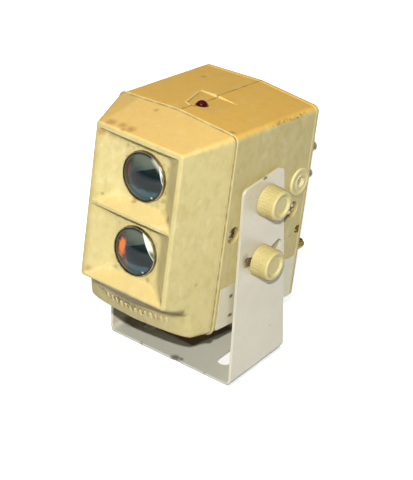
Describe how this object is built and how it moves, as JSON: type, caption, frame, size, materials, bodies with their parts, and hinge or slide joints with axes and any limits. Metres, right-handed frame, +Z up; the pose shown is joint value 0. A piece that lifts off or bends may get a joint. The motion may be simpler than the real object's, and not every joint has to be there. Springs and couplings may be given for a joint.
{
  "type": "twin-lens photoelectric sensor head",
  "caption": "Twin-lens photoelectric sensor head in a moulded case, tilting on a U-bracket between clamping knobs.",
  "frame": {"origin": "middle of the bracket's underside, on the surface that it stands on or is screwed to", "axes": "+Z up, the lenses face -Y, +X to the right of a person who faces the lenses; the tilt axis runs along X"},
  "size_m": [0.1078, 0.1212, 0.1561],
  "materials": {
    "case": "aged cream moulded plastic, satin",
    "paint": "warm light grey paint, satin",
    "glass": "polished dark lens",
    "chrome": "bright",
    "black": "matt black moulding",
    "rubber": "matt",
    "board": "solder-masked laminate",
    "clear": "tinted epoxy",
    "relay": "moulded",
    "iron": "varnished laminations",
    "sleeve": "shrink sleeve",
    "dark": "dark nylon",
    "terminal": "moulded",
    "lamp": "dark red lens",
    "pot": "moulded",
    "rotor": "grey moulded",
    "label": "aged grey foil",
    "steel": "dull zinc-plated",
    "brass": "tarnished",
    "fibre": "fibre"
  },
  "bodies": {
    "bracket": {"bracket": "paint"},
    "head": {"front_housing": "case", "seam_gasket": "rubber", "right_housing": "case", "left_housing": "case", "rear_cover": "case", "lens_upper": "glass", "lens_lower": "glass", "lens_ring_upper": "chrome", "lens_ring_lower": "chrome", "lens_tube_upper": "black", "lens_tube_lower": "black", "optics_board": "board", "emitter_led": "clear", "receiver_diode": "black", "main_board": "board", "relay": "relay", "transformer": "iron", "capacitor": "sleeve", "terminal_block": "terminal", "cable_gland": "dark", "gland_locknut": "dark", "indicator_lamp": "lamp", "sensitivity_plug": "case", "potentiometer": "pot", "label_plate": "label", "side_screw_front": "steel", "side_screw_rear": "steel", "cover_screw_upper_left": "steel", "cover_screw_upper_right": "steel", "cover_screw_lower_left": "brass", "cover_screw_lower_right": "brass", "ground_screw": "steel", "friction_washer_upper_left": "fibre", "insert_upper_left": "brass", "friction_washer_upper_right": "fibre", "insert_upper_right": "brass", "friction_washer_lower_left": "fibre", "insert_lower_left": "brass", "friction_washer_lower_right": "fibre", "insert_lower_right": "brass"},
    "rotor": {"sensitivity_rotor": "rotor"},
    "washer_upper_left": {"captive_washer_upper_left": "steel"},
    "clamp_upper_left": {"knob_upper_left": "case", "stud_upper_left": "steel"},
    "washer_upper_right": {"captive_washer_upper_right": "steel"},
    "clamp_upper_right": {"knob_upper_right": "case", "stud_upper_right": "steel"},
    "washer_lower_left": {"captive_washer_lower_left": "steel"},
    "clamp_lower_left": {"knob_lower_left": "case", "stud_lower_left": "steel"},
    "washer_lower_right": {"captive_washer_lower_right": "steel"},
    "clamp_lower_right": {"knob_lower_right": "case", "stud_lower_right": "steel"}
  },
  "joints": [
    {"name": "head_tilt", "type": "hinge", "parent": "bracket", "child": "head", "pos_m": [0, 0.004, 0.10717], "axis": [1, 0, 0], "range_deg": [-19, 27]},
    {"name": "upper_left_travel", "type": "slide", "parent": "head", "child": "washer_upper_left", "axis": [-1, 0, 0], "range_m": [0, 0.0024]},
    {"name": "upper_left_turn", "type": "hinge", "parent": "washer_upper_left", "child": "clamp_upper_left", "pos_m": [-0.043, 0.004, 0.10717], "axis": [-1, 0, 0], "range_deg": [0, 1081]},
    {"name": "upper_right_travel", "type": "slide", "parent": "head", "child": "washer_upper_right", "axis": [1, 0, 0], "range_m": [0, 0.0024]},
    {"name": "upper_right_turn", "type": "hinge", "parent": "washer_upper_right", "child": "clamp_upper_right", "pos_m": [0.043, 0.004, 0.10717], "axis": [1, 0, 0], "range_deg": [0, 1081]},
    {"name": "lower_left_travel", "type": "slide", "parent": "head", "child": "washer_lower_left", "axis": [-1, 0, 0], "range_m": [0, 0.0024]},
    {"name": "lower_left_turn", "type": "hinge", "parent": "washer_lower_left", "child": "clamp_lower_left", "pos_m": [-0.043, -0.00074, 0.07165], "axis": [-1, 0, 0], "range_deg": [0, 1081]},
    {"name": "lower_right_travel", "type": "slide", "parent": "head", "child": "washer_lower_right", "axis": [1, 0, 0], "range_m": [0, 0.0024]},
    {"name": "lower_right_turn", "type": "hinge", "parent": "washer_lower_right", "child": "clamp_lower_right", "pos_m": [0.043, -0.00074, 0.07165], "axis": [1, 0, 0], "range_deg": [0, 1081]},
    {"name": "sensitivity_turn", "type": "hinge", "parent": "head", "child": "rotor", "pos_m": [0.0393, 0.03788, 0.10119], "axis": [1, 0, 0], "range_deg": [-135, 135]}
  ],
  "couplings": [
    {"joint": "upper_left_turn", "follows": "upper_left_travel", "rad_per_m": 7854},
    {"joint": "upper_right_turn", "follows": "upper_right_travel", "rad_per_m": 7854},
    {"joint": "lower_left_turn", "follows": "lower_left_travel", "rad_per_m": 7854},
    {"joint": "lower_right_turn", "follows": "lower_right_travel", "rad_per_m": 7854}
  ]
}
